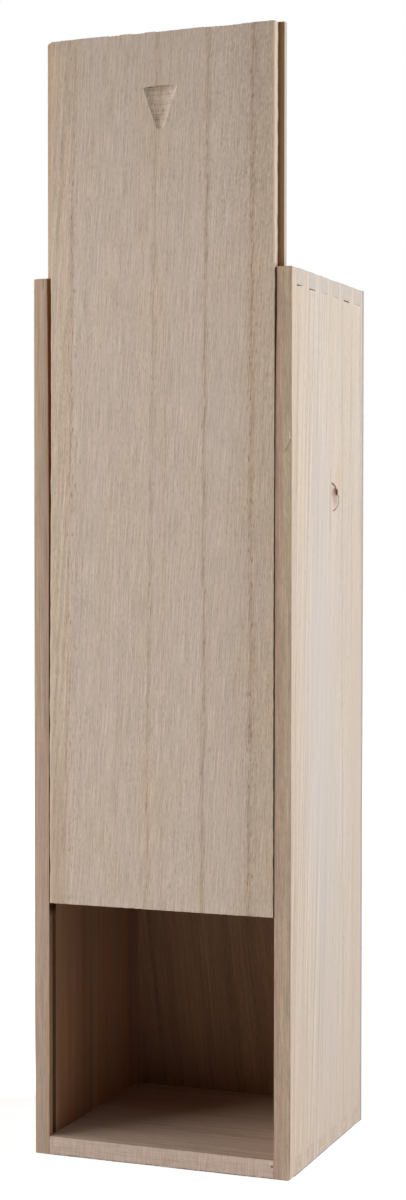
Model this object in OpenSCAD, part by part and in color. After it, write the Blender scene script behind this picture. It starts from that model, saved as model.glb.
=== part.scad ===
// Wooden box for one bottle, standing on its end, with its sliding lid drawn part of the way up.
// Four boards meet in finger joints, a thin panel closes the back, and the lid's rebated edges
// run in a groove in each side. Millimetres. The origin is the middle of the underside, +Z is up
// and the open front faces -Y.

/* [Box] */
// Outside width
box_w = 108; // [90:1:140]
// Outside depth, from the front edges of the sides to the back of the panel
box_d = 95; // [80:1:130]
// Height of the sides and the back panel
box_h = 350; // [250:1:420]

/* [Boards] */
// Thickness of each side
side_t = 6.6; // [5.5:0.1:9]
// Thickness of the bottom end
bottom_t = 7.4; // [5:0.1:12]
// Thickness of the top end
top_t = 6.5; // [5:0.1:12]
// Thickness of the back panel
back_t = 2.5; // [2:0.1:6]
// Width of the sanded bevel on the outer front edge of each side
arris = 0.4; // [0.1:0.1:1]
// Width of the bevel on the edges that the lid and the sides turn to each other
lid_arris = 0.1; // [0.1:0.1:0.5]

/* [Finger joints] */
// Fingers on each edge of an end board
finger_count = 6; // [3:1:7]
// Width of one finger
finger_w = 7.5; // [5:0.1:9]
// Wood left on the side behind the last finger
finger_tail = 3.7; // [2:0.1:8]
// Glue line on each flank of a finger
finger_glue = 0.1; // [0.05:0.05:0.3]
// Space left past each finger at the root of its slot
finger_root_gap = 0.35; // [0.1:0.05:0.6]

/* [Lid groove] */
// Wood left in front of the groove
groove_lip = 3; // [2:0.1:5]
// Width of the groove, front to back
groove_w = 3.3; // [2.5:0.1:5]
// Depth of the groove into the side
groove_depth = 3; // [2:0.1:4]

/* [Lid] */
// Running clearance on each face of the tongue
lid_run_gap = 0.25; // [0.15:0.05:0.4]
// Gap between the lid's face and each side, with the lid centred
lid_side_gap = 0.6; // [0.3:0.05:1.2]
// Gap between the edge of the tongue and the root of the groove
tongue_edge_gap = 0.9; // [0.4:0.1:1.3]
// How far the lid leans over to the right within its side gaps
lid_shift = 0.3; // [0:0.05:0.3]
// How far the lid's face stands out in front of the sides
lid_proud = 0.4; // [0:0.1:1]
// How far the closed lid's top end lies below the top of the sides
lid_drop = 1.1; // [0:0.1:4]
// Height of the lid's lower end above the bottom end
lid_raise = 93.8; // [0.3:0.1:330]

/* [Thumb notch] */
// Width of the notch at its head
notch_head_w = 14.6; // [8:0.1:24]
// Width of the notch at its foot
notch_foot_w = 3; // [1:0.1:8]
// Length of the notch from head to foot
notch_run = 16.5; // [8:0.1:25]
// Depth of the notch at its head
notch_depth = 1.8; // [1.2:0.1:4]
// Rise of the curved end wall above its corners
notch_arch = 0.5; // [0.2:0.1:1.5]
// Distance from the lid's top end down to the end wall
notch_drop = 21.3; // [10:0.1:60]

/* [Hidden] */

side_colour = [0.83, 0.74, 0.65];
end_colour = [0.78, 0.69, 0.60];
back_colour = [0.72, 0.61, 0.51];
lid_colour = [0.74, 0.66, 0.57];

// A cut starts this far outside the wood, so that it leaves no skin
cut_over = 1;

inner_w = box_w - 2 * side_t;
front_y = -box_d / 2;
frame_back_y = box_d / 2 - back_t;
groove_front_y = front_y + groove_lip;
groove_back_y = groove_front_y + groove_w;

// The fingers start level with the back of the groove, so the lid passes in front of the top end
finger_run = frame_back_y - groove_back_y - finger_tail;
finger_pitch = (finger_run - finger_w) / (finger_count - 1);

lid_x = lid_shift;
lid_front_y = front_y - lid_proud;
tongue_front_y = groove_front_y + lid_run_gap;
tongue_back_y = groove_back_y - lid_run_gap;
lid_half_w = inner_w / 2 - lid_side_gap;
tongue_half_w = inner_w / 2 + groove_depth - tongue_edge_gap;
lid_l = box_h - bottom_t - lid_drop;
lid_foot_z = bottom_t + lid_raise;
lid_top_z = lid_foot_z + lid_l;

// Front edge of each finger, counted from the front
function finger_y(i) = groove_back_y + i * finger_pitch;

// Slots across one end of a side, each open towards root_dir: +1 for the top, -1 for the bottom
module finger_slots(end_z, depth, root_dir) {
    slot_z = root_dir > 0 ? end_z - depth : end_z - cut_over;
    for (i = [0 : finger_count - 1])
        translate([inner_w / 2 - cut_over, finger_y(i) - finger_glue, slot_z])
            cube([side_t + 2 * cut_over, finger_w + 2 * finger_glue, depth + cut_over]);
}

// The right side: one moulded section, grooved for the lid along its whole length
module side_board() {
    inner_x = inner_w / 2;
    outer_x = box_w / 2;
    root_x = inner_x + groove_depth;
    difference() {
        linear_extrude(height = box_h)
            polygon([
                [inner_x + lid_arris, front_y], [outer_x - arris, front_y],
                [outer_x, front_y + arris], [outer_x, frame_back_y],
                [inner_x, frame_back_y], [inner_x, groove_back_y],
                [root_x, groove_back_y], [root_x, groove_front_y],
                [inner_x, groove_front_y], [inner_x, front_y + lid_arris]
            ]);
        finger_slots(0, bottom_t + finger_root_gap, -1);
        finger_slots(box_h, top_t + finger_root_gap, 1);
    }
}

// An end board that fills the width between the sides, with fingers that pass through both
module end_board(board_front_y, thickness) {
    linear_extrude(height = thickness) {
        translate([-inner_w / 2, board_front_y])
            square([inner_w, frame_back_y - board_front_y]);
        for (i = [0 : finger_count - 1])
            translate([-box_w / 2, finger_y(i)])
                square([box_w, finger_w]);
    }
}

// Section of the lid: a face board with its bevelled front edges, and a tongue along each edge
module lid_section() {
    polygon([
        [-lid_half_w + lid_arris, lid_front_y], [lid_half_w - lid_arris, lid_front_y],
        [lid_half_w, lid_front_y + lid_arris], [lid_half_w, tongue_front_y],
        [tongue_half_w, tongue_front_y], [tongue_half_w, tongue_back_y],
        [-tongue_half_w, tongue_back_y], [-tongue_half_w, tongue_front_y],
        [-lid_half_w, tongue_front_y], [-lid_half_w, lid_front_y + lid_arris]
    ]);
}

// Section of the notch at its head: a shallow arc, opened past the face of the lid
module notch_section() {
    arc_r = (pow(notch_head_w / 2, 2) + pow(notch_depth, 2)) / (2 * notch_depth);
    intersection() {
        translate([0, notch_depth - arc_r])
            circle(r = arc_r, $fn = 96);
        translate([-notch_head_w, -cut_over])
            square([2 * notch_head_w, notch_depth + 2 * cut_over]);
    }
}

// Thumb notch: a scoop that widens and deepens from its foot, stopped by a curved end wall
module thumb_notch() {
    end_wall_r = (pow(notch_head_w / 2, 2) + pow(notch_arch, 2)) / (2 * notch_arch);
    foot_share = notch_foot_w / notch_head_w;
    past_head = 3 * notch_arch;
    past_share = 1 + (1 - foot_share) * past_head / notch_run;
    intersection() {
        translate([0, 0, -notch_run])
            linear_extrude(height = notch_run + past_head, scale = past_share / foot_share)
                scale(foot_share)
                    notch_section();
        translate([0, notch_depth + 2 * cut_over, -end_wall_r])
            rotate([90, 0, 0])
                cylinder(h = notch_depth + 4 * cut_over, r = end_wall_r, $fn = 180);
    }
}

module left_side() {
    color(side_colour)
        mirror([1, 0, 0])
            side_board();
}

module right_side() {
    color(side_colour)
        side_board();
}

module bottom_end() {
    color(end_colour)
        end_board(front_y, bottom_t);
}

// Set back by the width of the lid, which slides past its front edge
module top_end() {
    color(end_colour)
        translate([0, 0, box_h - top_t])
            end_board(groove_back_y, top_t);
}

module back_panel() {
    color(back_colour)
        translate([-box_w / 2, frame_back_y, 0])
            cube([box_w, back_t, box_h]);
}

module sliding_lid() {
    color(lid_colour)
        translate([lid_x, 0, 0])
            difference() {
                translate([0, 0, lid_foot_z])
                    linear_extrude(height = lid_l)
                        lid_section();
                translate([0, lid_front_y, lid_top_z - notch_drop])
                    thumb_notch();
            }
}

left_side();
right_side();
bottom_end();
top_end();
back_panel();
sliding_lid();
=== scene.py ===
# A wooden box for one bottle, standing on its end, with its sliding lid drawn part of the way up.
# Every piece is sawn from pale, wide-ringed paulownia and left bare. Lengths are in metres, and
# in millimetres inside the materials and where a name says so.
import math

import bmesh
import bpy
from mathutils import Matrix, Vector, noise


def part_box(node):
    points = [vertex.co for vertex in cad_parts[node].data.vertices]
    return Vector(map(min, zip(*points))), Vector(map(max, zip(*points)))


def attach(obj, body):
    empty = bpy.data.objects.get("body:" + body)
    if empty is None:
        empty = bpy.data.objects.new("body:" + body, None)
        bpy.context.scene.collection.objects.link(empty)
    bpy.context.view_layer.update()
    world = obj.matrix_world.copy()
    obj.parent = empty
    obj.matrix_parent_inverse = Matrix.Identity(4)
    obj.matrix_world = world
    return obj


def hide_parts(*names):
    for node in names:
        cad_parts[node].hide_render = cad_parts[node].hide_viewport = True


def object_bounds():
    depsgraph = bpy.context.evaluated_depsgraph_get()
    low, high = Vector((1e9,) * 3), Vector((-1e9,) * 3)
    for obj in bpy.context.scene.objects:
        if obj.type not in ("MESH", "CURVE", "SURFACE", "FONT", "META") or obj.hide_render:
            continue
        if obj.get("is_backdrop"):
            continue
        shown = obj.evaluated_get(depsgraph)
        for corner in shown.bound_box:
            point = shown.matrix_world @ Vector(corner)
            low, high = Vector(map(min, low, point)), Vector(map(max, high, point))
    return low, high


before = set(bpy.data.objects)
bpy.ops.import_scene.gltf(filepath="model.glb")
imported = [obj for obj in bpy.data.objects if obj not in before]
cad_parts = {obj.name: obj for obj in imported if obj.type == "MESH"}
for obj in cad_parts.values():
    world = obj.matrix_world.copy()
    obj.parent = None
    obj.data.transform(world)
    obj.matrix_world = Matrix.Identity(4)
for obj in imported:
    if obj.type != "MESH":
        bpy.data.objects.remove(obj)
cad_low, cad_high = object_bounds()


# ----------------------------------------------------------
# Side boards. Each is one sawn and planed board of paulownia, grooved along its inside for the
# lid and slotted at both ends for the fingers of the end boards. Its front edge is eased with
# sandpaper, and its ends are cut off with the box already glued, so they run on in one wavy cut.
# ----------------------------------------------------------
MM = 0.001
BOX_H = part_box("left_side")[1].z
END_BAND = 4 * MM
TOP_SLANT = 0.75 * MM
SAW_WAVE = 0.3 * MM
SAW_WAVE_LENGTH = 9 * MM
SANDED_IN = 0.65 * MM
SANDED_HEIGHT = 60 * MM
SIDE_ROW = 6 * MM
SIDE_COLUMN = 1.1 * MM
EASED = 0.14 * MM
SAWN_ARRIS = 0.22 * MM
ARRIS_STEPS = 2
LEAST_ARRIS = math.radians(20)
NEAR = 0.01 * MM


def board_copy(node):
    """A merged copy of one of the frame's solids, with its flat faces whole again."""
    bm = bmesh.new()
    bm.from_mesh(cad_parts[node].data)
    bmesh.ops.remove_doubles(bm, verts=bm.verts, dist=0.001 * MM)
    bmesh.ops.dissolve_limit(bm, angle_limit=math.radians(0.5), verts=bm.verts, edges=bm.edges)
    return bm


def ease(bm, wanted, width):
    """Rounds the convex arrises whose middle and direction the test accepts."""
    chosen = []
    for edge in bm.edges:
        if len(edge.link_faces) == 2 and edge.calc_face_angle_signed(0) > LEAST_ARRIS:
            middle = (edge.verts[0].co + edge.verts[1].co) / 2
            along = (edge.verts[1].co - edge.verts[0].co).normalized()
            if wanted(middle, along):
                chosen.append(edge)
    bmesh.ops.bevel(
        bm, geom=chosen, offset=width, offset_type="OFFSET", segments=ARRIS_STEPS,
        profile=0.5, affect="EDGES", material=-1, clamp_overlap=True,
    )


def cut_rows(bm, axis, places, inside=None):
    """Cuts across the board at each place along an axis, only in the faces that the test accepts."""
    normal = Vector((0, 0, 0))
    normal[axis] = 1
    for place in places:
        faces = [f for f in bm.faces if inside is None or inside(f.calc_center_median())]
        edges = {e for f in faces for e in f.edges}
        verts = {v for f in faces for v in f.verts}
        at = Vector((0, 0, 0))
        at[axis] = place
        bmesh.ops.bisect_plane(
            bm, geom=list(verts) + list(edges) + faces, dist=0.002 * MM, plane_co=at, plane_no=normal,
        )


def steps(low, high, pitch):
    count = max(1, round((high - low) / pitch))
    return [low + (high - low) * i / count for i in range(1, count)]


def box_end_wave(co):
    """How far the saw ran in from the box's end at a point of the cut, from 0 to SAW_WAVE."""
    slow = noise.noise(Vector((co.x, co.y, 0.3)) / SAW_WAVE_LENGTH)
    quick = noise.noise(Vector((co.x, co.y, 0.7)) / (SAW_WAVE_LENGTH / 4))
    return SAW_WAVE * min(1, max(0, 0.4 + 0.7 * slow + 0.35 * quick))


def smooth_step(value, low_end, high_end):
    share = min(1, max(0, (value - low_end) / (high_end - low_end)))
    return share * share * (3 - 2 * share)


def saw_and_sand(bm):
    """Moves the ends of a board of the box in to the wavy saw cut, which runs lower at the top's
    left, and the left face in to where it was sanded away towards its front foot."""
    for v in bm.verts:
        up = max(0, (v.co.z - (BOX_H - END_BAND)) / END_BAND)
        down = max(0, (END_BAND - v.co.z) / END_BAND)
        wave = box_end_wave(v.co)
        slant = TOP_SLANT * (cad_high.x - v.co.x) / (cad_high.x - cad_low.x)
        v.co.z += down * wave * 0.7 - up * (wave + slant)
        if v.co.x < cad_low.x + 0.5 * MM:
            forward = max(0, (cad_high.y - v.co.y) / (cad_high.y - cad_low.y))
            v.co.x += SANDED_IN * forward * smooth_step(v.co.z, SANDED_HEIGHT, 0)


SHARP = math.radians(32)
SHARP_WHERE_CRISP = math.radians(9)


def made_object(bm, name, material):
    """The worked mesh as an object in the scene, in its material."""
    mesh = bpy.data.meshes.new(name)
    bm.to_mesh(mesh)
    bm.free()
    mesh.materials.append(material)
    made = bpy.data.objects.new(name, mesh)
    bpy.context.scene.collection.objects.link(made)
    return made


def finish_board(bm, name, material, body, nodes, crisp=lambda at: False):
    """Turns the worked mesh into a piece that stands for CAD nodes and rides on their body."""
    bmesh.ops.triangulate(bm, faces=[f for f in bm.faces if len(f.verts) > 4])
    bmesh.ops.recalc_face_normals(bm, faces=bm.faces)
    for face in bm.faces:
        face.smooth = True
    for edge in bm.edges:
        middle = (edge.verts[0].co + edge.verts[1].co) / 2
        edge.smooth = edge.calc_face_angle(0) < (SHARP_WHERE_CRISP if crisp(middle) else SHARP)
    piece = made_object(bm, name, material)
    weighted = piece.modifiers.new("flat faces", "WEIGHTED_NORMAL")
    weighted.keep_sharp = True
    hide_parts(*nodes)
    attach(piece, body)


def paint(red, green, blue):
    """A colour as it shows on a screen, from 0 to 255, turned into light."""
    return tuple(
        c / 255 / 12.92 if c / 255 <= 0.04045 else ((c / 255 + 0.055) / 1.055) ** 2.4
        for c in (red, green, blue)
    ) + (1.0,)


def put(tree, kind, **settings):
    made = tree.nodes.new("ShaderNode" + kind)
    for name, value in settings.items():
        setattr(made, name, value)
    return made


def join(tree, source, socket):
    """Links an output to an input, or writes a plain number, vector or colour on it."""
    if isinstance(source, bpy.types.NodeSocket):
        tree.links.new(source, socket)
    else:
        socket.default_value = source


def fed(tree, kind, values, **settings):
    """The outputs of a node made with each value linked to its input or written on it."""
    made = put(tree, kind, **settings)
    for name, value in values.items():
        join(tree, value, made.inputs[name])
    return made.outputs


def maths(tree, operation, *values, clamp=False):
    made = put(tree, "Math", operation=operation, use_clamp=clamp)
    for value, socket in zip(values, made.inputs):
        join(tree, value, socket)
    return made.outputs[0]


def vectors(tree, operation, *values):
    made = put(tree, "VectorMath", operation=operation)
    sockets = (made.inputs[0], made.inputs["Scale" if operation == "SCALE" else 1])
    for value, socket in zip(values, sockets):
        join(tree, value, socket)
    return made.outputs["Value" if operation in ("LENGTH", "DOT_PRODUCT") else "Vector"]


# The mix node has a set of sockets for each kind of value, and these are the ones for colours
MIX_FIRST, MIX_SECOND, MIX_MADE = 6, 7, 2


def blend(tree, factor, first, second, way="MIX"):
    return fed(tree, "Mix", {"Factor": factor, MIX_FIRST: first, MIX_SECOND: second},
               data_type="RGBA", blend_type=way)[MIX_MADE]


def ranged(tree, value, low, high, to_low=0.0, to_high=1.0, smooth=False):
    ends = {"From Min": low, "From Max": high, "To Min": to_low, "To Max": to_high}
    return fed(tree, "MapRange", {"Value": value, **ends},
               interpolation_type="SMOOTHSTEP" if smooth else "LINEAR")["Result"]


def noisy(tree, vector, stretch, detail=2.0, rough=0.5, output="Fac"):
    """Noise whose grains are as many millimetres long each way as stretch says."""
    scaled = vectors(tree, "MULTIPLY", vector, tuple(1 / s for s in stretch))
    return fed(tree, "TexNoise", {"Vector": scaled, "Scale": 1.0, "Detail": detail,
                                  "Roughness": rough}, noise_dimensions="3D")[output]


def stir(tree, vector, stretch, reach, detail=2.0):
    """A push of up to half the reach each way, which changes over the millimetres of stretch."""
    sides = noisy(tree, vector, stretch, detail, output="Color")
    return vectors(tree, "SCALE", vectors(tree, "SUBTRACT", sides, (0.5,) * 3), reach)


def parts_of(tree, vector):
    return fed(tree, "SeparateXYZ", {"Vector": vector})


def shaded(tree, color, level):
    """A colour made darker or lighter by a level."""
    grey = fed(tree, "CombineColor", {"Red": level, "Green": level, "Blue": level})["Color"]
    return blend(tree, 1.0, color, grey, "MULTIPLY")


def group(name, inputs, outputs):
    """An empty node group with its sockets, named by their kind, and its two end nodes."""
    tree = bpy.data.node_groups.new(name, "ShaderNodeTree")
    for in_out, kinds in (("INPUT", inputs), ("OUTPUT", outputs)):
        for kind, labels in kinds.items():
            for label in labels:
                tree.interface.new_socket(label, in_out=in_out, socket_type="NodeSocket" + kind)
    return tree, tree.nodes.new("NodeGroupInput").outputs, tree.nodes.new("NodeGroupOutput").inputs


def use_group(tree, made, **values):
    return fed(tree, "Group", values, node_tree=made)


# How the wood runs inside a board: growth rings round a leaning, tapering pith, with a slight
# wander, and vessels that lie along the trunk. The trunk stands along Z of the vector, in mm.
grain_field, given, gives = group(
    "paulownia grain",
    {"Vector": ("Vector", "Pith", "Lean", "Offset"), "Float": ("Taper", "Wander")},
    {"Float": ("Across", "Streak", "Line", "Vessel", "Cloud", "Fleck")},
)
g = grain_field
up = parts_of(g, given["Vector"])["Z"]
upright = vectors(g, "SUBTRACT", given["Vector"], vectors(g, "SCALE", given["Lean"], up))
placed = vectors(g, "ADD", upright, given["Offset"])
push = vectors(g, "ADD", stir(g, placed, (45, 45, 150), 5.0, 1.0),
               stir(g, placed, (9, 9, 24), 1.6, 1.0))
push = vectors(g, "SCALE", push, given["Wander"])
from_pith = vectors(g, "SUBTRACT", vectors(g, "ADD", upright, push), given["Pith"])
reach = vectors(g, "LENGTH", vectors(g, "MULTIPLY", from_pith, (1, 1, 0)))
swell = maths(g, "ADD", maths(g, "MULTIPLY", up, given["Taper"]), 1.0)
join(g, maths(g, "MULTIPLY", reach, swell), gives["Across"])
for pattern, stretch, detail, rough in (
    ("Streak", (0.36, 0.36, 15), 3.0, 0.68), ("Line", (1.3, 1.3, 160), 3.0, 0.6),
    ("Cloud", (8, 8, 55), 2.0, 0.5), ("Fleck", (0.6, 0.6, 1.8), 1.0, 0.5),
):
    join(g, noisy(g, placed, stretch, detail, rough), gives[pattern])
vessel = noisy(g, placed, (0.42, 0.42, 3.2), detail=1.0)
join(g, ranged(g, vessel, 0.58, 0.74), gives["Vessel"])

# The look of the bare, planed face: two body tones, browner wood at the ring lines, fine
# streaks, and dark vessel dashes that crowd along those lines.
bare_face, given, gives = group(
    "bare planed face",
    {"Float": ("Ring", "Zone", "Streak", "Line", "Vessel", "Cloud", "Fleck", "Streaks", "Lines",
               "Flecks", "Dashes"),
     "Color": ("Body", "Second", "Early", "Pore")},
    {"Color": ("Color",), "Float": ("Roughness", "Height")},
)
g = bare_face
zone = maths(g, "ADD", given["Zone"], ranged(g, given["Cloud"], 0.3, 0.7, -0.4, 0.4), clamp=True)
body = blend(g, zone, given["Body"], given["Second"])
dashed = ranged(g, given["Streak"], 0.35, 0.65, 1.7, 0.3)
ring = maths(g, "MULTIPLY", given["Ring"], dashed, clamp=True)
body = blend(g, ring, body, given["Early"])
level = 1.0
for pattern, amount in (("Streak", "Streaks"), ("Line", "Lines"), ("Fleck", "Flecks")):
    swing = maths(g, "MULTIPLY", maths(g, "SUBTRACT", given[pattern], 0.5), given[amount])
    level = maths(g, "ADD", swing, level)
body = shaded(g, body, level)
near_ring = maths(g, "ADD", maths(g, "MULTIPLY", given["Ring"], 1.6), 0.6)
open_pores = maths(g, "MULTIPLY", maths(g, "MULTIPLY", given["Vessel"], given["Dashes"]), near_ring,
                   clamp=True)
join(g, blend(g, open_pores, body, given["Pore"]), gives["Color"])
join(g, ranged(g, open_pores, 0.0, 1.0, 0.6, 0.85), gives["Roughness"])
lifted = maths(g, "MULTIPLY", given["Streak"], 0.7)
join(g, maths(g, "SUBTRACT", lifted, maths(g, "MULTIPLY", open_pores, 0.8)), gives["Height"])

# Where an arris has been rubbed: 1 on the edges of a box with these corners, in mm, and 0 a
# width away from them. The middle one of a point's three distances past the faces tells.
arris_rub, given, gives = group(
    "rubbed arris",
    {"Vector": ("Vector", "Low", "High"), "Float": ("Width",)}, {"Float": ("Rub",)},
)
g = arris_rub
past = vectors(g, "MAXIMUM", vectors(g, "SUBTRACT", given["Low"], given["Vector"]),
               vectors(g, "SUBTRACT", given["Vector"], given["High"]))
px, py, pz = parts_of(g, past)
most = maths(g, "MAXIMUM", maths(g, "MAXIMUM", px, py), pz)
least = maths(g, "MINIMUM", maths(g, "MINIMUM", px, py), pz)
total = maths(g, "ADD", maths(g, "ADD", px, py), pz)
middle = maths(g, "SUBTRACT", maths(g, "SUBTRACT", total, most), least)
width = maths(g, "MULTIPLY", given["Width"], -1.0)
join(g, ranged(g, middle, width, 0.0), gives["Rub"])


# A soft-edged stroke between two points of the YZ plane, in mm: 1 along its middle, 0 at its width
stroke_mark, given, gives = group(
    "stroke",
    {"Vector": ("Vector", "Start", "End"), "Float": ("Width",)}, {"Float": ("Mask",)},
)
g = stroke_mark
flat = vectors(g, "MULTIPLY", given["Vector"], (0, 1, 1))
from_start = vectors(g, "SUBTRACT", flat, given["Start"])
along = vectors(g, "SUBTRACT", given["End"], given["Start"])
share = maths(g, "DIVIDE", vectors(g, "DOT_PRODUCT", from_start, along),
              vectors(g, "DOT_PRODUCT", along, along), clamp=True)
off = vectors(g, "LENGTH", vectors(g, "SUBTRACT", from_start, vectors(g, "SCALE", along, share)))
join(g, ranged(g, maths(g, "DIVIDE", off, given["Width"]), 1.0, 0.3, smooth=True), gives["Mask"])


# How quickly the brown of a ring line fades on both sides of it: 1 is even, more is quicker
RING_CURVE = 1.7


def ramp(tree, value, low, high, stops):
    """A ramp in grey over a range of millimetres, from (mm, level) stops."""
    made = put(tree, "ValToRGB")
    join(tree, ranged(tree, value, low, high), made.inputs["Fac"])
    bar = made.color_ramp
    places = sorted((min(1, max(0, (at - low) / (high - low))), level) for at, level in stops)
    for element, (place, level) in zip(bar.elements, (places[0], places[-1])):
        element.position = place
        element.color = (level,) * 3 + (1,)
    for place, level in places[1:-1]:
        bar.elements.new(place).color = (level,) * 3 + (1,)
    return made.outputs["Color"]


def ring_ramp(tree, across, rings):
    """Ring lines, each given as (place, rise before it, fall after it, strength), in mm."""
    low = min(r[0] - r[1] for r in rings) - 2
    high = max(r[0] + r[2] for r in rings) + 2
    stops = [(low, 0.0), (high, 0.0)]
    for place, before, after, strength in rings:
        stops += [(place - before, 0.0), (place, strength ** (1 / RING_CURVE)), (place + after, 0.0)]
    return maths(tree, "POWER", ramp(tree, across, low, high, stops), RING_CURVE)


def zone_ramp(tree, across, zones):
    return ramp(tree, across, zones[0][0], zones[-1][0], zones)


def new_material(name):
    material = bpy.data.materials.new(name)
    material.use_nodes = True
    material.node_tree.nodes.clear()
    return material, material.node_tree


def own_place(tree):
    """Where a point is on the piece, in mm: the vector and its three parts."""
    vector = vectors(tree, "SCALE", put(tree, "TexCoord").outputs["Object"], 1 / MM)
    return (vector, *parts_of(tree, vector))


def planed(tree, field, ring, zone, **values):
    """The bare face, fed by the patterns of its board's grain."""
    patterns = {name: field[name] for name in ("Streak", "Line", "Vessel", "Cloud", "Fleck")}
    return use_group(tree, bare_face, Ring=ring, Zone=zone, **patterns, **values)


def beyond(tree, value, edge, soft=0.1):
    """1 past the edge and 0 before it, over a soft step."""
    return ranged(tree, value, edge - soft / 2, edge + soft / 2, smooth=True)


def short_of(tree, value, edge, soft=0.1):
    """1 before the edge and 0 past it."""
    return inverse(tree, beyond(tree, value, edge, soft))


def inverse(tree, mask):
    return maths(tree, "SUBTRACT", 1.0, mask)


def times(tree, *masks):
    made = masks[0]
    for mask in masks[1:]:
        made = maths(tree, "MULTIPLY", made, mask)
    return made


def tint(tree, color, tone, *masks):
    """Lays a tone over a colour where all the masks are."""
    return blend(tree, times(tree, *masks), color, tone)


BARE_SHEEN = 0.22
BUMP_STRENGTH = 0.6
BUMP_DEPTH = 0.12 * MM


def close_material(tree, color, roughness, height):
    """The shader and its bump, with the plain values on their own sockets."""
    bump = fed(tree, "Bump", {"Strength": BUMP_STRENGTH, "Distance": BUMP_DEPTH, "Height": height})
    shader = fed(tree, "BsdfPrincipled", {
        "Base Color": color, "Roughness": roughness, "Specular IOR Level": BARE_SHEEN,
        "Normal": bump["Normal"],
    })
    fed(tree, "OutputMaterial", {"Surface": shader["BSDF"]})


RUB_WIDTH_MM = 0.9
RUBBED = paint(150, 128, 108)


def weathered(tree, face, vector, node):
    """Adds the rubbed arrises of the board, darker in patches, to a face's colour and roughness."""
    low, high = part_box(node)
    rub = use_group(tree, arris_rub, Vector=vector, Low=tuple(v / MM for v in low),
                    High=tuple(v / MM for v in high), Width=RUB_WIDTH_MM)["Rub"]
    patches = ranged(tree, noisy(tree, vector, (3, 3, 9)), 0.4, 0.65)
    rub = times(tree, rub, patches)
    color = tint(tree, face["Color"], RUBBED, rub, 0.4)
    return color, maths(tree, "SUBTRACT", face["Roughness"], times(tree, rub, 0.12))


# The slots of the fingers, and how far open their roots were left when the boards were pressed
# together: the front and the back of each slot, counted from the front, as a share of the gap.
# Those at the foot were pressed home.
FINGER_FRONT = -41.2 * MM
FINGER_PITCH = 15 * MM
ROOT_GAP = 0.35 * MM
TOP_ROOT = BOX_H - 6.5 * MM - ROOT_GAP
FOOT_ROOT = 7.4 * MM + ROOT_GAP
TOP_OPEN = ((1.6, 0.0), (1.2, 0.7), (0.1, 0.3), (0.0, 0.4), (1.3, 1.5), (0.1, 0.6))


def press_slots(bm):
    """Closes the roots of the slots up to the fingers as far as the boards were pressed home."""
    for v in bm.verts:
        place = (v.co.y - FINGER_FRONT) / FINGER_PITCH + 0.1
        if abs(v.co.z - TOP_ROOT) < NEAR:
            opened = TOP_OPEN[int(place)][0 if place % 1 < 0.3 else 1]
            v.co.z += ROOT_GAP * (1 - opened)
        elif abs(v.co.z - FOOT_ROOT) < NEAR:
            v.co.z -= ROOT_GAP


# Two fibres torn up from the right board's front, each from its root to its tip
FIBRES = (
    ((50.9, -47.4, 278.8), (51.7, -47.7, 280.6), (52.8, -47.76, 283.4), (53.7, -47.76, 286.6)),
    ((53.5, -47.4, 284.2), (53.4, -47.72, 285.6), (53.1, -47.74, 287.2)),
)
FIBRE_THICKNESS = 0.3 * MM
FIBRE_TAPER = 0.75
FIBRE_TIP = 0.35


def lift_fibre(bm, points):
    """Adds a fibre from its root up through the points, in mm, to a thin tip."""
    start = Matrix.Translation(Vector(points[0]) * MM)
    made = bmesh.ops.create_cone(
        bm, cap_ends=True, segments=6, radius1=FIBRE_THICKNESS / 3, radius2=FIBRE_THICKNESS / 2,
        depth=0.1 * MM, matrix=start,
    )
    cap = max({f for v in made["verts"] for f in v.link_faces}, key=lambda f: f.calc_center_median().z)
    for i in range(1, len(points)):
        grown = bmesh.ops.extrude_face_region(bm, geom=[cap])["geom"]
        cap = next(e for e in grown if isinstance(e, bmesh.types.BMFace))
        middle = cap.calc_center_median()
        bmesh.ops.translate(bm, verts=cap.verts, vec=Vector(points[i]) * MM - middle)
        thin = FIBRE_TAPER if i < len(points) - 1 else FIBRE_TIP
        bmesh.ops.scale(bm, verts=cap.verts, vec=(thin, thin, 1),
                        space=Matrix.Translation(-cap.calc_center_median()))


INNER_MM = 47.4
CORNER_REACH = 1.1 * MM
FRONT_ZONE = 0.6 * MM
CORNER_ROWS = [0.5 * MM, 1.5 * MM]
CORNER_COLUMNS = (0.9, 0.6, 0.3, 0.1)
END_CLEAR = 10 * MM


def outermost(at):
    return abs(abs(at.x) - cad_high.x) < NEAR


def round_off(past, radius):
    """How far a rounded corner lies inside a square one, at a distance past the round's start."""
    return radius - math.sqrt(radius ** 2 - min(radius, max(0, past)) ** 2)


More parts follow.
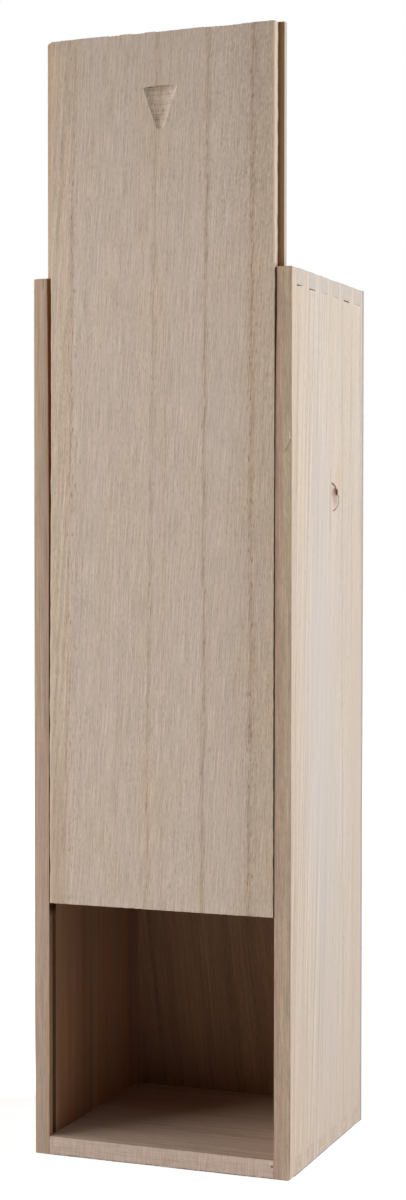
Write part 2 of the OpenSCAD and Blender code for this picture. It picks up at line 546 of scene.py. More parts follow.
def side_board(node, material, round_foot, round_top, worn_back, worn_length, worn_power):
    """The board with its front corner rounded at the foot and the top, and its lip worn back."""
    low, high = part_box(node)
    front = low.y
    bm = board_copy(node)
    press_slots(bm)
    ease(bm, lambda at, way: at.y < front + FRONT_ZONE and abs(way.z) > 0.9
         and abs(at.x) > INNER_MM * MM + MM, EASED)
    for end in (high.z, low.z):
        ease(bm, lambda at, way: abs(at.z - end) < NEAR and (
            outermost(at) or at.y < front + FRONT_ZONE), SAWN_ARRIS)
    rows = CORNER_ROWS + [END_BAND]
    cut_rows(bm, 2, rows + [high.z - row for row in reversed(rows)])
    cut_rows(bm, 2, steps(END_CLEAR, high.z - END_CLEAR, SIDE_ROW))
    columns = [math.copysign(cad_high.x - f * CORNER_REACH, low.x) for f in CORNER_COLUMNS]
    for inside in (lambda at: at.z > high.z - END_BAND, lambda at: at.z < END_BAND):
        cut_rows(bm, 1, steps(low.y, high.y, SIDE_COLUMN), inside)
        cut_rows(bm, 0, columns, inside)
    for v in bm.verts:
        bite = round_off(CORNER_REACH - (cad_high.x - abs(v.co.x)), CORNER_REACH)
        if v.co.y < FINGER_FRONT + NEAR:
            v.co.z += bite * round_foot * max(0, 1 - v.co.z / END_BAND)
            v.co.z -= bite * round_top * max(0, 1 - (high.z - v.co.z) / END_BAND)
    # The lid has worn the lip's inner arris back towards the top
    for v in bm.verts:
        if v.co.y < front + 0.3 * MM and abs(v.co.x) < INNER_MM * MM + 0.4 * MM:
            worn = max(0, 1 - (high.z - v.co.z) / worn_length) ** worn_power
            v.co.x += math.copysign(worn_back * worn, v.co.x)
    saw_and_sand(bm)
    if node == "right_side":
        for points in FIBRES:
            lift_fibre(bm, points)
    finish_board(bm, node + "_board", material, "box", [node])


FRONT_MM = cad_low.y / MM + 0.4
OUTER_MM = 53.2
GROOVE_ROOT_MM = 50.4
GROOVE_MM = (-44.5, -41.2)
SIDE_MIDDLE_MM = 180
# The inside tones are darker and browner than the outside, partly as painted shade for the dim inside
# of the box
INSIDE_TAN_SHADED = paint(168, 132, 100)
INSIDE_ROSE_SHADED = paint(150, 112, 86)
# A brown painted shade, for the gaps next to the lid and for the lid's shadow
PAINTED_SHADE_BROWN = paint(134, 86, 50)
GROOVE_BURNT_AND_SHADED = paint(124, 88, 62)
PAINTED_GAP_SHADE = paint(70, 42, 26)
FOOT_TONE = paint(180, 155, 138)
SIDE_PALE = paint(204, 188, 170)
SIDE_COOL = paint(203, 191, 180)
SIDE_EARLY = paint(172, 150, 130)
SIDE_PORE = paint(136, 110, 88)
SAWN_END = paint(152, 138, 124)
PAINTED_FLOOR_SHADE = paint(158, 156, 158)


def end_up(tree):
    """1 where a surface faces up or down, and 0 on the upright ones."""
    steep = parts_of(tree, put(tree, "NewGeometry").outputs["Normal"])["Z"]
    return beyond(tree, maths(tree, "ABSOLUTE", steep), 0.45, 0.4)


def side_wood(name, node, pith, lean, taper, offset, face_x, rings, zones, fronts, bow=None):
    """One board's wood: pale outside, browner inside partly as painted shade, the groove scorched and
    painted darker for its shade, and painted shade behind the lid and next to it.
    """
    material, tree = new_material(name)
    vector, x, y, z = own_place(tree)
    sideways = maths(tree, "ABSOLUTE", x)
    bowed = bow(tree, vector, y, z) if bow else vector
    centred = vectors(tree, "SUBTRACT", bowed, (0, 0, SIDE_MIDDLE_MM))
    field = use_group(tree, grain_field, Vector=centred, Pith=pith, Lean=lean, Taper=taper,
                      Offset=offset, Wander=0.35)

    def from_pith(y_mm):
        return math.hypot(face_x - pith[0], y_mm - pith[1])

    ring = ring_ramp(tree, field["Across"], [(from_pith(r[0]), *r[1:]) for r in rings])
    zone = zone_ramp(tree, field["Across"], [(from_pith(y_mm), level) for y_mm, level in zones])

    behind = beyond(tree, y, FRONT_MM + 0.55, 0.5)
    inward = inverse(tree, ranged(tree, sideways, INNER_MM + 0.3, OUTER_MM))
    wobble = times(tree, maths(tree, "SUBTRACT", field["Cloud"], 0.5), 3.0)
    wobbly = maths(tree, "ADD", sideways, wobble)
    across_front = ranged(tree, wobbly, INNER_MM + 0.4, INNER_MM + 4.2, smooth=True)
    inside = blend(tree, zone, INSIDE_TAN_SHADED, INSIDE_ROSE_SHADED)
    first = blend(tree, inward, SIDE_PALE, inside)
    second = blend(tree, inward, SIDE_COOL, inside)
    near_lid, outer, rosy, rosy_outside, lip_top_gap_shading = fronts
    front = blend(tree, across_front, near_lid, outer)
    hue = ranged(tree, noisy(tree, centred, (0.8, 2.0, 36), detail=1.0), 0.42, 0.6)
    front = tint(tree, front, rosy, hue, ranged(tree, across_front, 0.0, 1.0, 0.8, rosy_outside))
    low_down = inverse(tree, ranged(tree, z, 60.0, 240.0))
    front = tint(tree, front, FOOT_TONE, low_down, 0.5)
    lines = noisy(tree, centred, (0.32, 2.0, 24), detail=1.0)
    front = shaded(tree, front, ranged(tree, lines, 0.3, 0.7, 0.86, 1.14))
    first = blend(tree, behind, front, first)
    second = blend(tree, behind, front, second)
    # The lines of the face are boldest in front of its middle and low down
    bold = times(tree, ranged(tree, y, -15.0, 15.0, 1.0, 0.38), behind,
                 ranged(tree, y, -44.0, -26.0, 0.65, 1.0), ranged(tree, z, 40.0, 220.0, 1.7, 1.0))
    bold = maths(tree, "ADD", bold, ranged(tree, behind, 0.0, 1.0, 0.55, 0.0))
    face = planed(tree, field, ring, zone, Body=first, Second=second, Early=SIDE_EARLY,
                  Pore=SIDE_PORE, Streaks=ranged(tree, behind, 0.0, 1.0, 0.72, 0.45),
                  Lines=bold, Flecks=0.14, Dashes=0.4)
    color, rough = weathered(tree, face, vector, node)
    before_root = short_of(tree, sideways, GROOVE_ROOT_MM + 0.1)
    before_wall = short_of(tree, y, GROOVE_MM[1] + 0.1)
    in_groove = times(tree, beyond(tree, sideways, INNER_MM + 0.1), before_root, before_wall,
                      beyond(tree, y, GROOVE_MM[0] - 0.1))
    # The groove is scorched by the cutter and painted darker for the shade inside it
    color = tint(tree, color, GROOVE_BURNT_AND_SHADED, in_groove, 0.85)
    # Painted shade in the gap: the lip behind the lid is painted dark brown, and above 170 mm takes a
    # top tone, paler on the right board to offset that shade and brown on the left
    on_lip = times(tree, beyond(tree, y, FRONT_MM + 0.12, 0.14), before_root, before_wall,
                   beyond(tree, z, 97.0, 4.0))
    gap_shading = blend(tree, ranged(tree, z, 170.0, 270.0), PAINTED_GAP_SHADE, lip_top_gap_shading)
    color = tint(tree, color, gap_shading, on_lip, 0.95)
    # The lid's painted shadow on the front next to the lip near the top
    beside = times(tree, short_of(tree, sideways, INNER_MM + 0.8, 0.8),
                   inverse(tree, behind), ranged(tree, z, 270.0, 350.0))
    color = tint(tree, color, PAINTED_SHADE_BROWN, beside, 0.6)
    color = tint(tree, color, SAWN_END, end_up(tree), 0.7)
    return material, tree, color, rough, face["Height"], (vector, x, y, z)


# A small knot on the right board: the grain bows round it, a dark crack lies at its upper back
# corner, and thin dark lines run from the crack forwards over the knot and down round its back.
KNOT_AT = (7.5, 262.5)


def squared(tree, value):
    return times(tree, value, value)


def knot_bow(tree, vector, y, z):
    """Draws the grain apart round the knot."""
    across = maths(tree, "SUBTRACT", y, KNOT_AT[0])
    along = maths(tree, "SUBTRACT", z, KNOT_AT[1])
    size = maths(tree, "ADD", *(squared(tree, maths(tree, "DIVIDE", value, reach))
                                for value, reach in ((across, 7.0), (along, 15.0))))
    pull = maths(tree, "DIVIDE", -0.62, squared(tree, maths(tree, "ADD", size, 1.0)))
    shift = fed(tree, "CombineXYZ", {"Y": times(tree, across, pull)})
    return vectors(tree, "ADD", vector, shift["Vector"])


def spot(tree, across, up, at, half, soft=0.6):
    """A soft-edged oval mask on a flat face, from two coordinates of it."""
    size = maths(tree, "ADD", *(
        squared(tree, maths(tree, "DIVIDE", maths(tree, "SUBTRACT", value, middle), reach))
        for value, middle, reach in ((across, at[0], half[0]), (up, at[1], half[1]))))
    return ranged(tree, maths(tree, "SQRT", size), 1.0, 1.0 - soft, smooth=True)


def strokes(tree, vector, points, width):
    """A thin line through points (y, z) of a side's face, as one mask."""
    made = 0.0
    for start, end in zip(points, points[1:]):
        mask = use_group(tree, stroke_mark, Vector=vector, Start=(0, *start), End=(0, *end),
                         Width=width)["Mask"]
        made = maths(tree, "MAXIMUM", mask, made)
    return made


right_wood, tree, color, rough, height, (vector, x, y, z) = side_wood(
    "right side wood", "right_side", pith=(40, -190, 0), lean=(0, 0.0693, 0), taper=0.0004,
    offset=(7, 3, 0), face_x=54,
    rings=[(-41.8, 1.4, 1.4, 0.4), (-31.4, 0.9, 0.8, 0.32), (-26.5, 0.9, 0.9, 0.5),
           (-21.1, 0.8, 0.7, 0.32), (-15.1, 1.0, 0.7, 0.38), (-3.7, 1.0, 0.8, 0.45),
           (2.1, 0.9, 0.8, 0.32), (18.3, 1.8, 1.4, 0.42), (32.0, 3.0, 1.5, 0.2),
           (45.5, 2.5, 1.0, 0.35)],
    zones=[(-47, 0.0), (-32, 0.25), (-22, 0.8), (-5, 1.0), (5, 0.75), (20, 0.75), (30, 0.6),
           (48, 0.8)],
    # The last front tone is the lip's top behind the lid, painted paler to offset the shade in the gap
    fronts=(paint(167, 139, 119), paint(177, 157, 132), paint(178, 147, 127), 0.15,
            paint(206, 170, 138)), bow=knot_bow,
)
outside = beyond(tree, x, 53.9, 0.1)
# Cooler and warmer areas of the outer face, painted shade towards its foot, where the right lamp's
# light falls off, and its painted shade by the floor
for mask, tone, strength in (
    (spot(tree, y, z, (-10, 185), (32, 150), 0.9), paint(201, 193, 187), 0.65),
    (spot(tree, y, z, (40, 150), (18, 170), 0.9), paint(201, 183, 169), 0.5),
    (inverse(tree, ranged(tree, z, 40.0, 150.0, smooth=True)), paint(196, 175, 158), 0.3),
    (spot(tree, y, z, (1, 100), (15, 100), 0.9), paint(194, 186, 181), 0.45),
    (short_of(tree, z, 0.8, 0.6), PAINTED_FLOOR_SHADE, 0.6),
):
    color = tint(tree, color, tone, mask, outside, strength)
ragged = vectors(tree, "ADD", vector, stir(tree, vector, (1.6, 1.6, 1.6), 1.2))
knot_y, knot_z = parts_of(tree, ragged)[1:]
# The knot's warm halo, its heart and the shade on it
for middle, half, soft, tone, strength in (
    ((12.0, 271.0), (6.5, 12.0), 0.95, paint(204, 178, 146), 0.5),
    ((8.0, 262.6), (5.4, 4.6), 0.75, paint(166, 140, 122), 0.62),
    ((6.0, 265.2), (4.2, 3.0), 0.9, paint(138, 104, 80), 0.65),
):
    mask = spot(tree, knot_y, knot_z, middle, half, soft)
    color = tint(tree, color, tone, mask, outside, strength)
# A crease in front of it, and the lines over it and round its back
for points, width, tone, strength in (
    (((1.9, 274.0), (2.0, 262.0), (1.6, 250.0)), 1.1, paint(160, 140, 122), 0.3),
    (((3.4, 268.5), (6.5, 268.0), (9.0, 266.8)), 0.75, paint(108, 66, 36), 0.85),
    (((11.2, 264.2), (13.0, 262.8), (12.8, 261.3), (10.8, 259.5), (8.0, 258.2), (5.0, 257.6)),
     0.55, paint(124, 80, 50), 0.75),
):
    color = tint(tree, color, tone, strokes(tree, ragged, points, width), outside, strength)
crack = maths(tree, "MAXIMUM", spot(tree, knot_y, knot_z, (9.8, 265.2), (2.4, 1.9), 0.6),
              times(tree, spot(tree, knot_y, knot_z, (8.0, 266.0), (2.4, 1.5), 0.8), 0.8))
crack = times(tree, crack, outside)
color = tint(tree, color, paint(80, 42, 16), crack)
color = tint(tree, color, paint(240, 228, 206), short_of(tree, y, FRONT_MM - 0.01, 0.02))
close_material(tree, color, rough, maths(tree, "SUBTRACT", height, crack))
side_board("right_side", right_wood, round_foot=0.7, round_top=0.0, worn_back=0.9 * MM,
           worn_length=75 * MM, worn_power=1.6)

left_wood, tree, color, rough, height, (vector, x, y, z) = side_wood(
    "left side wood", "left_side", pith=(-60, -150, 0), lean=(0, 0.002, 0), taper=0.0,
    offset=(31, 11, 40), face_x=-47.4,
    rings=[(-38, 1, 0.5, 0.1), (-17, 7, 0.7, 0.35), (-2, 8, 0.7, 0.45), (18, 9, 0.7, 0.6),
           (47, 18, 0.7, 0.6)],
    zones=[(-42, 0.0), (-28, 0.1), (-17, 0.7), (-2.5, 0.9), (-1.5, 0.1), (6, 0.2), (18, 0.9),
           (18.8, 0.1), (28, 0.2), (36, 0.9), (48, 1.0)],
    # The last front tone, the lip's top behind the lid, is the brown painted shade
    fronts=(paint(158, 129, 108), paint(171, 152, 129), paint(174, 144, 124), 0.8, PAINTED_SHADE_BROWN),
)
# Its inside face is painted lighter towards the front, where light comes in, and darker higher up,
# behind the lid, as painted light and shade
light_and_tone_level = times(tree, ranged(tree, y, -41.0, -22.0, 1.24, 1.0), ranged(tree, z, 50.0, 90.0, 1.0, 0.87))
lighter = shaded(tree, color, light_and_tone_level)
split = spot(tree, x, z, (-49.8, 348.0), (0.3, 4.5))
color = tint(tree, color, paint(84, 66, 54), split, short_of(tree, y, FRONT_MM + 0.3, 0.2), 0.7)
inside_face = times(tree, beyond(tree, x, -47.9, 0.4), beyond(tree, y, GROOVE_MM[1], 0.1))
color = tint(tree, color, lighter, inside_face)
rose_bands = ranged(tree, noisy(tree, vector, (60, 4.5, 200), detail=1.0), 0.46, 0.58)
color = tint(tree, color, paint(176, 122, 92), inside_face, rose_bands, 0.4)
close_material(tree, color, rough, height)
side_board("left_side", left_wood, round_foot=0.0, round_top=1.0, worn_back=0.6 * MM,
           worn_length=135 * MM, worn_power=2.0)


# ----------------------------------------------------------
# End boards. The bottom end carries the box and fills it from the front edges of the sides to
# the back; the top end is set back so that the lid passes it. Six fingers on each edge of a board
# are glued through the sides, so their end grain shows outside.
# ----------------------------------------------------------
FLOOR_ROW = 4 * MM


def end_board(node, material, piece_name, outer_z):
    low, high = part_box(node)
    bm = board_copy(node)
    ease(bm, lambda at, way: at.y < low.y + NEAR and abs(way.x) > 0.9, SAWN_ARRIS)
    ease(bm, lambda at, way: outermost(at) and abs(at.z - outer_z) < NEAR, SAWN_ARRIS)
    cut_rows(bm, 1, steps(low.y, high.y, SIDE_COLUMN))
    cut_rows(bm, 0, steps(low.x, high.x, FLOOR_ROW))
    saw_and_sand(bm)
    finish_board(bm, piece_name, material, "box", [node])


# Turns the place in a board so that its trunk, which lies along X, stands along Z
TRUNK_UP = (0, math.radians(90), 0)


def end_wood(name, node, offset, end_grain, tinted, tones):
    """The wood of an end board, whose grain runs from side to side, with its end grain outside."""
    material, tree = new_material(name)
    vector, x, y, z = own_place(tree)
    turned = fed(tree, "Mapping", {"Vector": vector, "Rotation": TRUNK_UP})["Vector"]
    field = use_group(tree, grain_field, Vector=turned, Pith=(-90, 40, 0),
                      Lean=(0, 0.02, 0), Offset=offset, Wander=0.8)
    ring = ring_ramp(tree, field["Across"], [(80, 1, 6, 0.2), (98, 1, 7, 0.25), (113, 1, 7, 0.3),
                                             (127, 1, 8, 0.3), (140, 1, 6, 0.3)])
    zone = zone_ramp(tree, field["Across"], [(75, 0.2), (105, 0.7), (135, 0.3)])
    body, second, early, pore = tones
    face = planed(tree, field, ring, zone, Body=body, Second=second, Early=early, Pore=pore,
                  Streaks=0.8, Lines=0.45, Flecks=0.16, Dashes=0.4)
    color, rough = weathered(tree, face, vector, node)
    at_end = beyond(tree, maths(tree, "ABSOLUTE", x), OUTER_MM)
    patch = ranged(tree, noisy(tree, vector, (3, 4, 2.5)), 0.35, 0.6, 0.3, 1.0)
    color = tint(tree, color, end_grain, at_end, patch, tinted)
    return material, tree, color, rough, face["Height"], at_end, (vector, x, y, z)


bottom_wood, tree, color, rough, height, at_end, (vector, x, y, z) = end_wood(
    "bottom end wood", "bottom_end", offset=(3, 50, 9), end_grain=paint(188, 170, 152), tinted=0.3,
    tones=(paint(206, 181, 161), paint(198, 173, 155), paint(174, 146, 124), paint(140, 112, 92)),
)
color = tint(tree, color, paint(196, 180, 165), at_end, 0.7)
# Painted shade along the foot of the end grain, by the floor
color = tint(tree, color, PAINTED_FLOOR_SHADE, at_end, short_of(tree, z, 0.8, 0.6), 0.6)
# The front edge shows upright saw scratches, chips along its lower arris, painted dark as the shade in
# them, and small pits at the joints
on_front = short_of(tree, y, FRONT_MM + 0.15, 0.2)
color = tint(tree, color, paint(188, 169, 157), on_front, 0.5)
scratch = noisy(tree, vector, (0.2, 9, 6), detail=1.0)
scratched = shaded(tree, color, ranged(tree, scratch, 0.3, 0.7, 0.84, 1.16))
color = tint(tree, color, scratched, on_front)
# Broad bands of grain along the floor, which is a little darker near the front
bands = noisy(tree, vector, (70, 2.4, 2.4), detail=3.0, rough=0.6)
banded = shaded(tree, color, ranged(tree, bands, 0.3, 0.7, 0.88, 1.12))
banded = shaded(tree, banded, ranged(tree, y, -46.0, -28.0, 0.9, 1.0))
color = tint(tree, banded, color, on_front)
crumbs = noisy(tree, vector, (1.3, 2, 0.9), detail=2.0)
bitten = ranged(tree, maths(tree, "ADD", z, times(tree, crumbs, -1.6)), -0.2, -0.6)
shaded_chips = times(tree, on_front, bitten)
color = tint(tree, color, paint(92, 80, 72), shaded_chips, 0.7)
reach = ranged(tree, crumbs, 0.3, 0.7, 0.0, 1.4)
by_joint = maths(tree, "SUBTRACT", maths(tree, "ABSOLUTE", x), reach)
pits = times(tree, beyond(tree, by_joint, 46.3, 0.3), ranged(tree, crumbs, 0.45, 0.6))
pits = maths(tree, "MAXIMUM", pits, spot(tree, x, z, (46.7, 4.9), (0.7, 0.6)))
pits = times(tree, on_front, pits)
color = tint(tree, color, paint(70, 50, 38), pits, 0.8)
chip = spot(tree, x, z, (46.0, 6.2), (0.9, 0.8))
color = tint(tree, color, paint(226, 208, 192), on_front, chip, 0.5)
height = maths(tree, "SUBTRACT", height, maths(tree, "MAXIMUM", pits, shaded_chips))
close_material(tree, color, rough, height)
end_board("bottom_end", bottom_wood, "bottom_board", cad_low.z)

top_wood, tree, color, rough, height, at_end, (vector, x, y, z) = end_wood(
    "top end wood", "top_end", offset=(23, 10, 70), end_grain=paint(190, 184, 176), tinted=0.9,
    tones=(paint(190, 172, 156), paint(188, 172, 158), paint(164, 140, 122), paint(130, 104, 86)),
)
color = tint(tree, color, paint(197, 188, 180), at_end, 0.55)
close_material(tree, color, rough, height)
end_board("top_end", top_wood, "top_board", cad_low.z + BOX_H)


# ----------------------------------------------------------
# Back panel. A thin panel of the same wood, glued flat over the back edges of the four boards
# and trimmed flush with them.
# ----------------------------------------------------------
low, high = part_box("back_panel")
back_wood, tree = new_material("back panel wood")
vector, x, y, z = own_place(tree)
field = use_group(tree, grain_field, Vector=vector, Pith=(-140, 45, 0), Lean=(-0.11, 0, 0), Taper=0.0,
                  Offset=(80, 20, 5), Wander=1.0)
ring = ring_ramp(tree, field["Across"], [(106, 1.0, 3, 0.5), (114, 1, 2, 0.25), (128, 1.5, 5, 0.2),
                                         (141, 2, 6, 0.4), (152, 2, 8, 0.3), (170, 1, 8, 0.35)])
zone = zone_ramp(tree, field["Across"], [(95, 0.6), (110, 0.7), (125, 0.2), (150, 0.3), (180, 0.8)])
inward = inverse(tree, ranged(tree, y, 45.0, 46.6))
# The inside face takes the inside tones, darker and browner partly as painted shade
first = blend(tree, inward, paint(188, 170, 152), INSIDE_TAN_SHADED)
second = blend(tree, inward, paint(184, 168, 154), INSIDE_ROSE_SHADED)
face = planed(tree, field, ring, zone, Body=first, Second=second, Early=paint(124, 96, 74),
              Pore=paint(96, 70, 52), Streaks=0.8, Lines=0.55, Flecks=0.15, Dashes=0.5)
color, rough = weathered(tree, face, vector, "back_panel")
# Painted light: the panel is painted lighter towards the right, where light from the front reaches its
# inside
color = shaded(tree, color, ranged(tree, x, 0.0, 35.0, 1.0, 1.25))
trimmed = beyond(tree, maths(tree, "ABSOLUTE", x), 53.3)
color = tint(tree, color, paint(172, 165, 161), trimmed, 0.9)
color = tint(tree, color, SAWN_END, end_up(tree), 0.7)
close_material(tree, color, rough, face["Height"])
bm = board_copy("back_panel")
ease(bm, lambda at, way: at.y > high.y - NEAR, SAWN_ARRIS)
cut_rows(bm, 2, [CORNER_ROWS[1], END_BAND, high.z - END_BAND, high.z - CORNER_ROWS[1]])
cut_rows(bm, 0, steps(low.x, high.x, SIDE_COLUMN),
         lambda at: at.z > high.z - END_BAND or at.z < END_BAND)
saw_and_sand(bm)
finish_board(bm, "back_panel_board", back_wood, "box", ["back_panel"])


# ----------------------------------------------------------
# Sliding lid. A flat-sawn board with a rebate along each long edge, which leaves a tongue to run
# in the groove. The thumb notch was scooped by a turning cutter, which left fine rows across it
# and scorched its end wall. The board's top was sawn a little out of square.
# ----------------------------------------------------------
LID_ROW = 1.5 * MM
LID_COLUMN = 0.6 * MM
EDGE_WAVE = 0.26 * MM
EDGE_WAVE_LENGTH = 8 * MM
LID_SLANT = 0.75 * MM
LID_STEP = 0.3 * MM
LID_STEP_LENGTH = 5 * MM
LID_SERRATION = 0.22 * MM
LID_CORNER = 1.2 * MM
TONGUE_RISE = 0.45 * MM
TONGUE_SAWN_IN = 0.08 * MM
LID_FOOT_WAVE = 0.3 * MM
SLAB_LEFT = -46.5 * MM
SLAB_BACK = -44.2 * MM
EDGE_INNER = 45.5 * MM
EDGE_OUTER = 48 * MM
NOTCH_HALF = 8 * MM
NOTCH_FOOT = 400 * MM
NOTCH_HEAD = 423 * MM

low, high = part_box("sliding_lid")
lid_face_y = low.y
lid_wood, tree = new_material("lid wood")
vector, x, y, z = own_place(tree)
LID_PITH = (-190, 60, 0)
LID_MIDDLE_MM = 272


def from_lid_pith(x_mm):
    """How far from the pith a line lies that crosses the lid's face here at half height."""
    return math.hypot(x_mm - LID_PITH[0], lid_face_y / MM - LID_PITH[1])


centred = vectors(tree, "SUBTRACT", vector, (0, 0, LID_MIDDLE_MM))
field = use_group(tree, grain_field, Vector=centred, Pith=LID_PITH, Lean=(0.0615, 0, 0),
                  Taper=0.0002, Offset=(0, 0, 0), Wander=0.5)
ring = ring_ramp(tree, field["Across"], [(from_lid_pith(r[0]), *r[1:]) for r in (
    (-43.0, 0.8, 0.8, 0.12), (-38.3, 1.1, 1.1, 0.3), (-32.0, 0.9, 0.9, 0.12), (-16.6, 1.0, 1.0, 0.1),
    (-3.9, 1.4, 2.2, 0.34), (2.2, 1.2, 1.2, 0.14), (18.8, 1.5, 1.9, 0.48), (37.6, 1.5, 2.1, 0.47))])
zone = zone_ramp(tree, field["Across"], [(from_lid_pith(x_mm), level) for x_mm, level in (
    (-50, 0.0), (-39, 0.1), (-36, 0.85), (-12, 0.75), (-5, 0.5), (0, 0.75), (12, 0.85), (17, 0.6),
    (21, 0.95), (32, 0.75), (37, 0.3), (40, 0.1), (50, 0.1))])
burl = ranged(tree, noisy(tree, vector, (16, 16, 40)), 0.5, 0.62)
burl = maths(tree, "ADD", times(tree, burl, 0.16), ranged(tree, x, 33.0, 38.0, 0.24, 0.34))
top_right = times(tree, ranged(tree, z, 330.0, 390.0, smooth=True),
                  ranged(tree, x, 8.0, 24.0, smooth=True), 0.22)
burl = maths(tree, "ADD", burl, top_right)
near_pores = maths(tree, "MAXIMUM", spot(tree, x, z, (-37, 250), (3.5, 400), 0.7),
                   spot(tree, x, z, (37.5, 250), (4.0, 400), 0.7))
pore = blend(tree, near_pores, paint(118, 94, 74), paint(140, 98, 64))
lined = ranged(tree, x, -38.0, -33.0, 0.7, 0.24)
face = planed(tree, field, ring, zone, Body=paint(198, 177, 155), Second=paint(198, 180, 165),
              Early=paint(160, 134, 108), Pore=pore, Streaks=1.18, Lines=lined, Flecks=burl,
              Dashes=maths(tree, "ADD", times(tree, near_pores, 0.5), 0.45))
color, rough = face["Color"], face["Roughness"]
# Painted shade towards the top, the wood a little darker on the right, browner along the upper part of
# its left edge
light_and_tone_level = times(tree, ranged(tree, z, 350, 445, 1.0, 0.86), ranged(tree, x, 26.0, 40.0, 1.0, 0.915))
color = shaded(tree, color, light_and_tone_level)
low_left = spot(tree, x, z, (-44, 118), (8, 70), 0.9)
color = tint(tree, color, paint(166, 142, 120), low_left, 0.4)
# A painted highlight along the slab's left arris
color = tint(tree, color, paint(222, 198, 172), short_of(tree, x, -45.75, 0.5), 0.3)
rubbed = times(tree, short_of(tree, x, -46.0, 0.8), ranged(tree, z, 330, 400))
color = tint(tree, color, paint(168, 128, 92), rubbed, 0.5)
# The slab's long edges, seen in the gaps next to the sides, are painted brown as shade; the right
# rebate is scorched by the cutter, the left one only tanned
behind_face = beyond(tree, y, -44.4, 0.2)
sideways = maths(tree, "ABSOLUTE", x)
gap_shaded_edge = times(tree, beyond(tree, sideways, 46.6, 0.1), beyond(tree, y, -47.75, 0.1),
                short_of(tree, z, 349.0, 1.0))
color = tint(tree, color, PAINTED_SHADE_BROWN, gap_shaded_edge, ranged(tree, x, -40, 40, 0.7, 0.3))
scorch = times(tree, behind_face, beyond(tree, x, 47.2), short_of(tree, x, 49.65, 0.2))
burnt = blend(tree, ranged(tree, x, 47.9, 48.9), paint(132, 100, 70), paint(176, 132, 91))
color = tint(tree, color, burnt, scorch, 0.92)
# The slab's right edge above the box is painted paler, as painted light where the right lamp catches it
lit_slab_edge = times(tree, beyond(tree, x, 46.7, 0.1), beyond(tree, z, 351.0, 1.0),
                  inverse(tree, behind_face))
color = tint(tree, color, paint(210, 192, 171), lit_slab_edge)
color = tint(tree, color, paint(194, 183, 172), beyond(tree, x, 49.7, 0.1))
# The notch: rows left by the cutter, a scorched spot at the left of its foot, and dark marks
# along its end wall
deep = times(tree, beyond(tree, y, lid_face_y / MM + 0.12, 0.1), inverse(tree, behind_face),
             short_of(tree, sideways, 9.0), beyond(tree, z, 403.0), short_of(tree, z, 422.5))
turns = noisy(tree, vector, (30, 30, 0.3), detail=1.0)
cutter_rows = ranged(tree, turns, 0.5, 0.66)
color = tint(tree, color, paint(132, 106, 84), deep, cutter_rows, 0.34)
# Painted light: the notch's left half, which lies in shade, is painted lighter, and the rest of the lid
# a little darker
shade_lightened_half = times(tree, deep, short_of(tree, x, 0.6, 5.0))
color = shaded(tree, color, ranged(tree, shade_lightened_half, 0.0, 1.0, 0.95, 1.09))
# The notch's end wall faces down into shade and is painted lighter to offset it
wall = times(tree, deep, end_up(tree))
color = tint(tree, color, paint(214, 184, 142), wall)
foot_scorch = spot(tree, x, z, (-1.0, 408.3), (1.8, 1.3), 0.9)
crumbly = ranged(tree, noisy(tree, vector, (1.2, 1.2, 9)), 0.48, 0.6)
scorched = maths(tree, "MAXIMUM", times(tree, wall, crumbly), times(tree, foot_scorch, 0.3))
color = tint(tree, color, paint(116, 78, 46), deep, scorched)
color = tint(tree, color, SAWN_END, end_up(tree), inverse(tree, times(tree, deep, 0.9)))
height = maths(tree, "SUBTRACT", face["Height"], times(tree, deep, cutter_rows))
close_material(tree, color, rough, height)


def slab_stray(right, z):
    """How far out from its straight line the slab's sawn edge runs at a height."""
    if right:
        stray = -0.12 * MM + 0.29 * MM * smooth_step(z, 150 * MM, 420 * MM)
    else:
        stray = 0.42 * MM - 0.7 * MM * smooth_step(z, 150 * MM, 300 * MM)
    wave = noise.noise(Vector((9 if right else 0, 0, z * (1.6 if right else 1))) / EDGE_WAVE_LENGTH)
    return stray + EDGE_WAVE * wave * (0.75 if right else 1)


def lid_top_drop(x, y):
    """How far below the board's highest point its sawn top lies at a place."""
    slant = LID_SLANT * (high.x - x) / (high.x - low.x)
    step = LID_STEP * (0.5 + 0.5 * noise.cell(Vector((x / LID_STEP_LENGTH + 7.3, 0, 0))))
    serration = LID_SERRATION * abs(noise.noise(Vector((x / (0.9 * MM), y / (3 * MM), 5))))
    on_tongue = y > SLAB_BACK - 0.1 * MM
    corner = round_off(LID_CORNER - (x - (low.x if on_tongue else SLAB_LEFT)), LID_CORNER)
    return max(0, slant + step + serration + corner - (TONGUE_RISE if on_tongue else 0))


bm = board_copy("sliding_lid")
cut_rows(bm, 2, steps(low.z, high.z, LID_ROW))
cut_rows(bm, 0, steps(low.x, high.x, LID_COLUMN),
         lambda at: at.z > high.z - LID_ROW or at.z < low.z + LID_ROW)
for v in bm.verts:
    if v.co.y < SLAB_BACK and EDGE_INNER < abs(v.co.x) < EDGE_OUTER:
        edge = min(1, (abs(v.co.x) - EDGE_INNER) / MM)
        v.co.x += math.copysign(edge, v.co.x) * slab_stray(v.co.x > 0, v.co.z)
    if v.co.x < low.x + NEAR:
        v.co.x += TONGUE_SAWN_IN
    top = max(0, 1 - (high.z - v.co.z) / LID_ROW)
    foot = max(0, 1 - (v.co.z - low.z) / LID_ROW)
    tufts = max(0, noise.noise(Vector((v.co.x / (1.5 * MM), v.co.y / (4 * MM), 2))) + 0.1)
    v.co.z += foot * LID_FOOT_WAVE * tufts - top * lid_top_drop(v.co.x, v.co.y)
finish_board(
    bm, "lid_board", lid_wood, "lid", ["sliding_lid"],
    crisp=lambda at: abs(at.x) < NOTCH_HALF and at.y < SLAB_BACK and NOTCH_FOOT < at.z < NOTCH_HEAD,
)


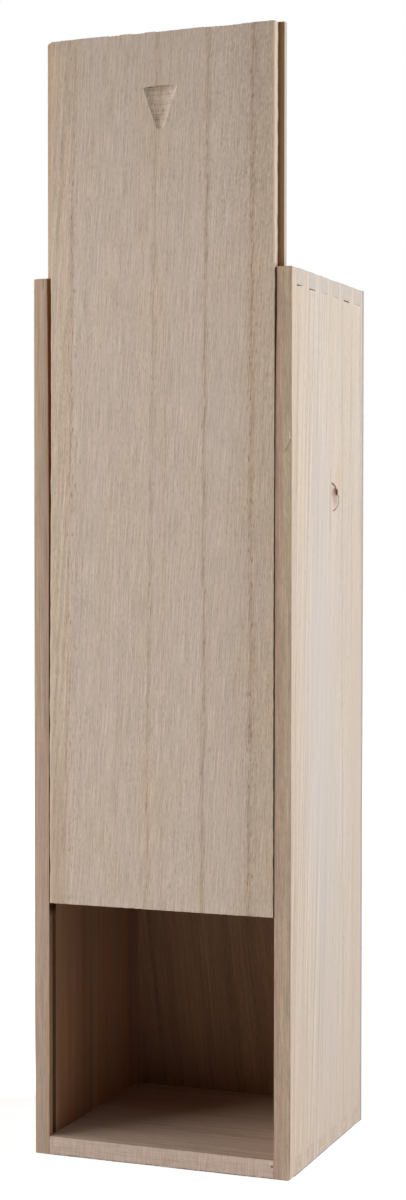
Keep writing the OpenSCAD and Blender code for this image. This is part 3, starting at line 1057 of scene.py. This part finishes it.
# ----------------------------------------------------------
# The studio: a pale floor and a white surround, soft boxes at the left front, at the right and
# overhead, and the camera.
# ----------------------------------------------------------
FLOOR_RADIUS = 6
FLOOR_GREY = (0.8, 0.8, 0.8, 1)
WHITE = (1, 1, 1, 1)
WORLD_LIGHT = 0.03

floor_material, tree = new_material("pale floor")
shader = fed(tree, "BsdfPrincipled",
             {"Base Color": FLOOR_GREY, "Roughness": 0.9, "Specular IOR Level": 0.1})
# The camera sees the floor brighten to white away from the box; no other light comes of it
seen = put(tree, "LightPath").outputs["Is Camera Ray"]
floor_place = put(tree, "TexCoord").outputs["Object"]
far_off = ranged(tree, vectors(tree, "LENGTH", floor_place), 0.15, 0.6, 0.55, 1.0)
glow = fed(tree, "Emission", {"Color": WHITE, "Strength": times(tree, seen, far_off)})
lit_floor = fed(tree, "AddShader", {0: shader["BSDF"], 1: glow["Emission"]})
fed(tree, "OutputMaterial", {"Surface": lit_floor["Shader"]})

bm = bmesh.new()
bmesh.ops.create_circle(bm, cap_ends=True, segments=64, radius=FLOOR_RADIUS)
floor = made_object(bm, "floor", floor_material)
floor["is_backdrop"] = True

world = bpy.data.worlds.new("white surround")
bpy.context.scene.world = world
world.use_nodes = True
tree = world.node_tree
tree.nodes.clear()
seen = put(tree, "LightPath").outputs
shows = maths(tree, "MAXIMUM", seen["Is Camera Ray"], seen["Is Transmission Ray"])
brightness = ranged(tree, shows, 0.0, 1.0, WORLD_LIGHT, 1.0)
back = fed(tree, "Background", {"Color": WHITE, "Strength": brightness})
fed(tree, "OutputWorld", {"Surface": back["Background"]})


LAMPS_AIM = Vector((0, 0, 0.2))


def soft_box(name, place, width, height, power):
    lamp = bpy.data.lights.new(name, "AREA")
    lamp.shape = "RECTANGLE"
    lamp.size, lamp.size_y = width, height
    lamp.energy = power
    made = bpy.data.objects.new(name, lamp)
    made.location = place
    made.rotation_euler = (LAMPS_AIM - Vector(place)).to_track_quat("-Z", "Y").to_euler()
    bpy.context.scene.collection.objects.link(made)


soft_box("left front soft box", (-1.50, -0.87, 0.55), width=1.7, height=1.0, power=37.3)
soft_box("right soft box", (1.535, 0.27, 1.1), width=1.0, height=1.0, power=33)
soft_box("overhead soft box", (0, -0.62, 1.9), width=1.0, height=1.0, power=4)

CAMERA_PLACE = Vector((0.318173, -0.833472, 0.247679))
CAMERA_YAW = math.radians(20.8973)
CAMERA_PITCH = math.radians(1.701)
CAMERA_ROLL = math.radians(0.0537)
CAMERA_LENS_MM = 65.363
CAMERA_SENSOR_MM = 36
lens = bpy.data.cameras.new("camera")
lens.lens = CAMERA_LENS_MM
lens.sensor_width = CAMERA_SENSOR_MM
camera = bpy.data.objects.new("camera", lens)
facing = (Matrix.Rotation(CAMERA_YAW, 4, "Z") @ Matrix.Rotation(math.radians(90) - CAMERA_PITCH, 4, "X")
          @ Matrix.Rotation(CAMERA_ROLL, 4, "Z"))
camera.location = CAMERA_PLACE
camera.rotation_euler = facing.to_euler()
bpy.context.scene.collection.objects.link(camera)
bpy.context.scene.camera = camera
bpy.context.scene.view_settings.view_transform = "Standard"

low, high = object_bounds()
